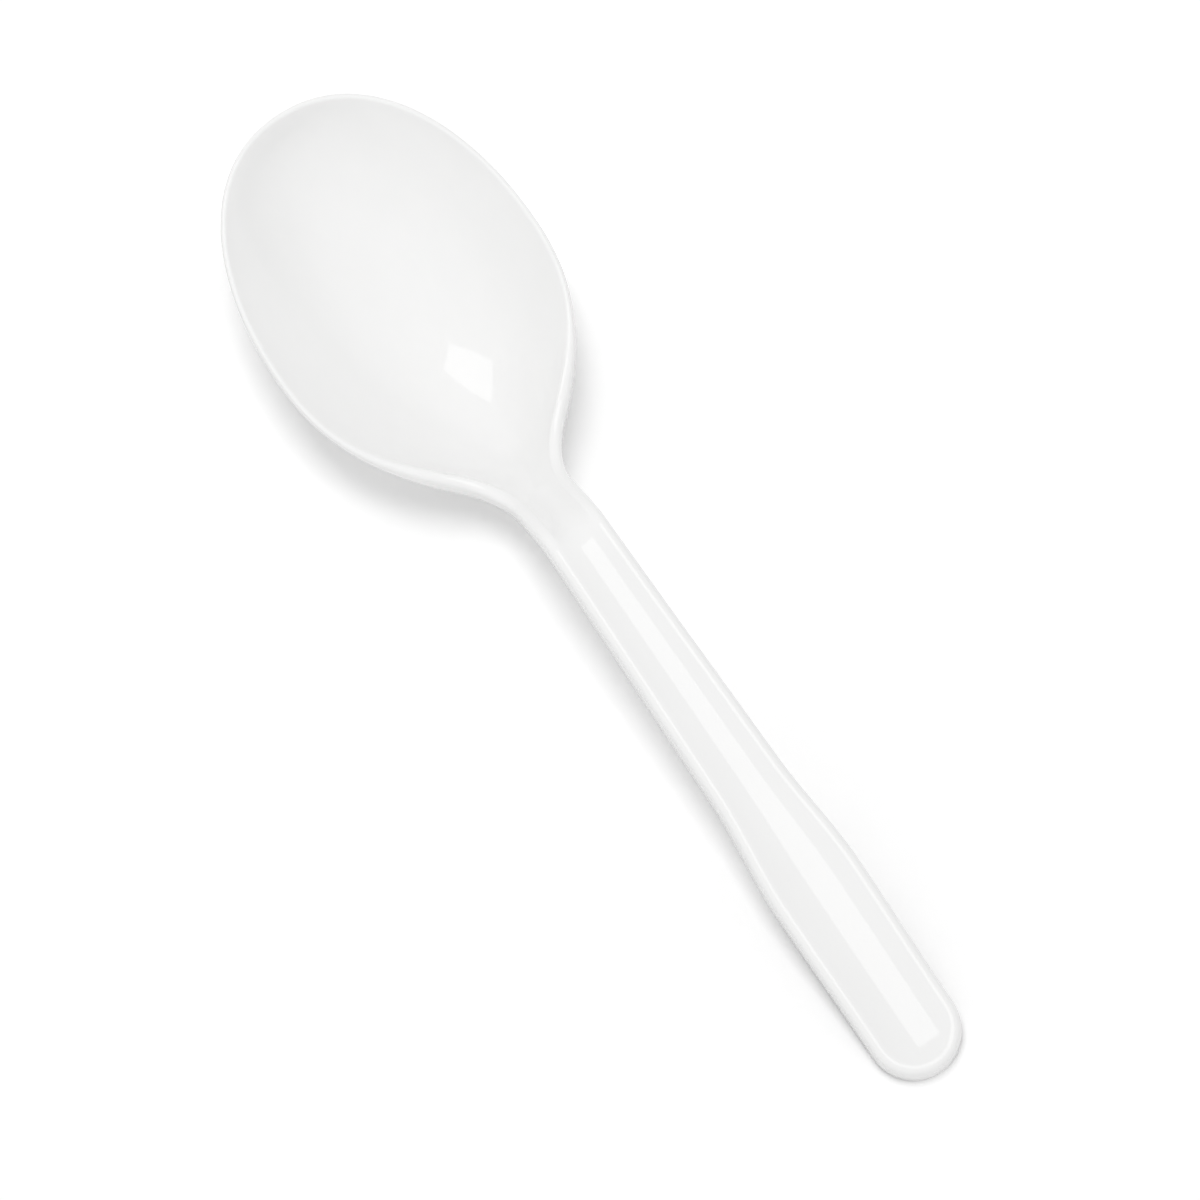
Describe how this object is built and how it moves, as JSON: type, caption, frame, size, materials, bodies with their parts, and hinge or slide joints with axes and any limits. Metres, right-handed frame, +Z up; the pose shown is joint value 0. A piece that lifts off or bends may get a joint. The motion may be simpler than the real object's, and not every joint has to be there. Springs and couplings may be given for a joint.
{
  "type": "soup spoon",
  "caption": "Disposable plastic soup spoon: egg-shaped bowl with a rounded lip, stepped-up neck, and a railed channel handle that flares to a round-ended grip.",
  "frame": {"origin": "centre of the lying spoon's box, on the table it lies on", "axes": "+X from the tip of the bowl to the end of the handle, +Y across, +Z up out of the open bowl"},
  "size_m": [0.146, 0.039, 0.0158],
  "materials": {
    "white_plastic": "smooth glossy white, moulded"
  },
  "bodies": {
    "root": {"bowl": "white_plastic", "neck": "white_plastic", "stem": "white_plastic", "grip": "white_plastic"}
  },
  "joints": []
}
